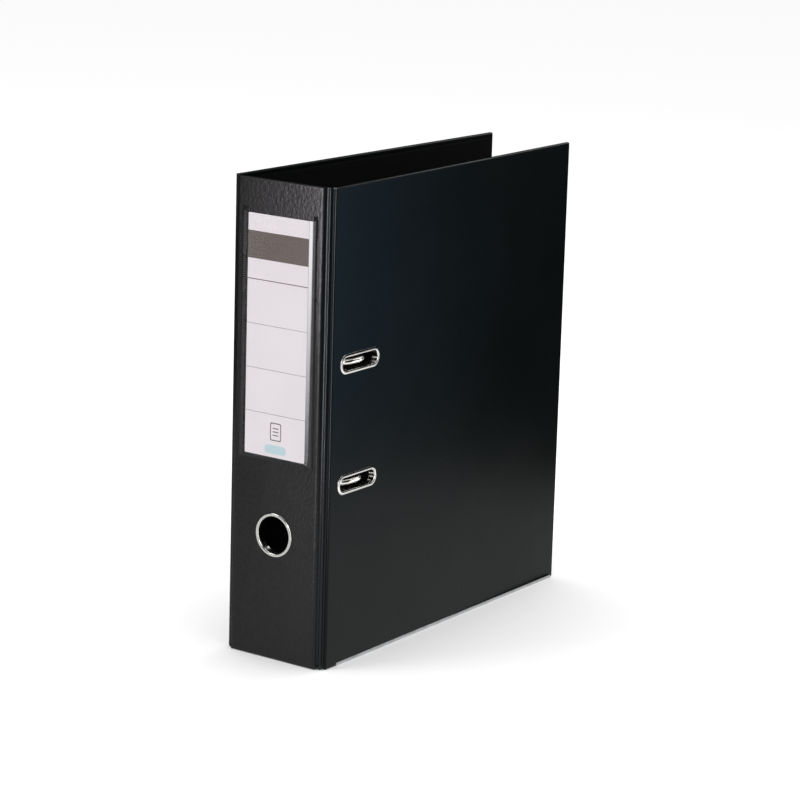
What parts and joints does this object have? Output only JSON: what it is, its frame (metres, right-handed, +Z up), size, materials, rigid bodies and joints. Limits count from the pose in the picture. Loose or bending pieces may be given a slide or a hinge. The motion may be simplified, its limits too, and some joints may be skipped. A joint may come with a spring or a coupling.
{
  "type": "lever arch file",
  "caption": "Upright A4 ring binder with covered boards, a label pocket and finger ring on the spine, rimmed cover slots, and a lever arch mechanism inside.",
  "frame": {"origin": "on the ground under the middle of the closed file's bounding box", "axes": "+X from the back cover to the front cover, +Y from the spine to the open edge, +Z up along the spine"},
  "size_m": [0.0823, 0.2849, 0.318],
  "materials": {
    "cover_foil": "satin, very fine grain",
    "spine_foil": "leather-grained",
    "inner_foil": "smooth satin",
    "grey_board": "raw",
    "bright_nickel": "bright nickel plate",
    "edge_steel": "satin",
    "pocket_film": "clear film",
    "label_card": "matt, printed rules",
    "black_plastic": "moulded"
  },
  "bodies": {
    "back_cover": {"back_outer_foil": "cover_foil", "back_board": "grey_board", "back_lining": "inner_foil", "back_edge_strip": "edge_steel", "base_plate": "bright_nickel", "rivet_1": "bright_nickel", "rivet_2": "bright_nickel", "rivet_3": "bright_nickel", "rivet_4": "bright_nickel", "post_upper": "bright_nickel", "post_lower": "bright_nickel", "arch_bearing_upper": "bright_nickel", "arch_bearing_lower": "bright_nickel", "lever_bracket": "bright_nickel", "lever_pin": "edge_steel"},
    "spine": {"spine_outer_foil": "spine_foil", "spine_board": "grey_board", "spine_lining": "inner_foil", "finger_ring": "bright_nickel", "finger_ring_washer": "bright_nickel", "label_pocket": "pocket_film", "label_card": "label_card", "back_hinge_strip": "spine_foil", "front_hinge_strip": "spine_foil"},
    "front_cover": {"front_outer_foil": "cover_foil", "front_board": "grey_board", "front_lining": "inner_foil", "front_edge_strip": "edge_steel", "slot_rim_upper": "bright_nickel", "slot_rim_lower": "bright_nickel", "slot_backing_upper": "bright_nickel", "slot_backing_lower": "bright_nickel"},
    "arches": {"arch_bow": "bright_nickel"},
    "lever": {"lever_arm": "bright_nickel", "lever_grip": "black_plastic", "roller_pin": "edge_steel"},
    "roller": {"lever_roller": "edge_steel"},
    "compressor": {"compressor_bar": "bright_nickel", "compressor_clip_upper": "black_plastic", "compressor_clip_lower": "black_plastic"}
  },
  "joints": [
    {"name": "spine_hinge", "type": "hinge", "parent": "back_cover", "child": "spine", "pos_m": [-0.041, -0.1365, 0.159], "axis": [0, 0, -1], "range_deg": [0, 91.4]},
    {"name": "front_cover_hinge", "type": "hinge", "parent": "spine", "child": "front_cover", "pos_m": [0.041, -0.1365, 0.159], "axis": [0, 0, -1], "range_deg": [0, 180]},
    {"name": "arch_hinge", "type": "hinge", "parent": "back_cover", "child": "arches", "pos_m": [-0.03364, -0.12187, 0.162], "axis": [0, 0, -1], "range_deg": [0, 92]},
    {"name": "lever_hinge", "type": "hinge", "parent": "back_cover", "child": "lever", "pos_m": [-0.0237, -0.11212, 0.212], "axis": [-0.0244, -0.9997, 0], "range_deg": [0, 78.5]},
    {"name": "roller_spin", "type": "hinge", "parent": "lever", "child": "roller", "pos_m": [-0.0276, -0.11202, 0.176], "axis": [-0.0244, -0.9997, 0], "continuous": true},
    {"name": "compressor_slide", "type": "slide", "parent": "back_cover", "child": "compressor", "axis": [0.9997, -0.0244, 0], "range_m": [0, 0.042]}
  ],
  "couplings": [
    {"joint": "arch_hinge", "follows": "spine_hinge", "ratio": 1},
    {"joint": "lever_hinge", "follows": "spine_hinge", "ratio": 0.8534}
  ]
}
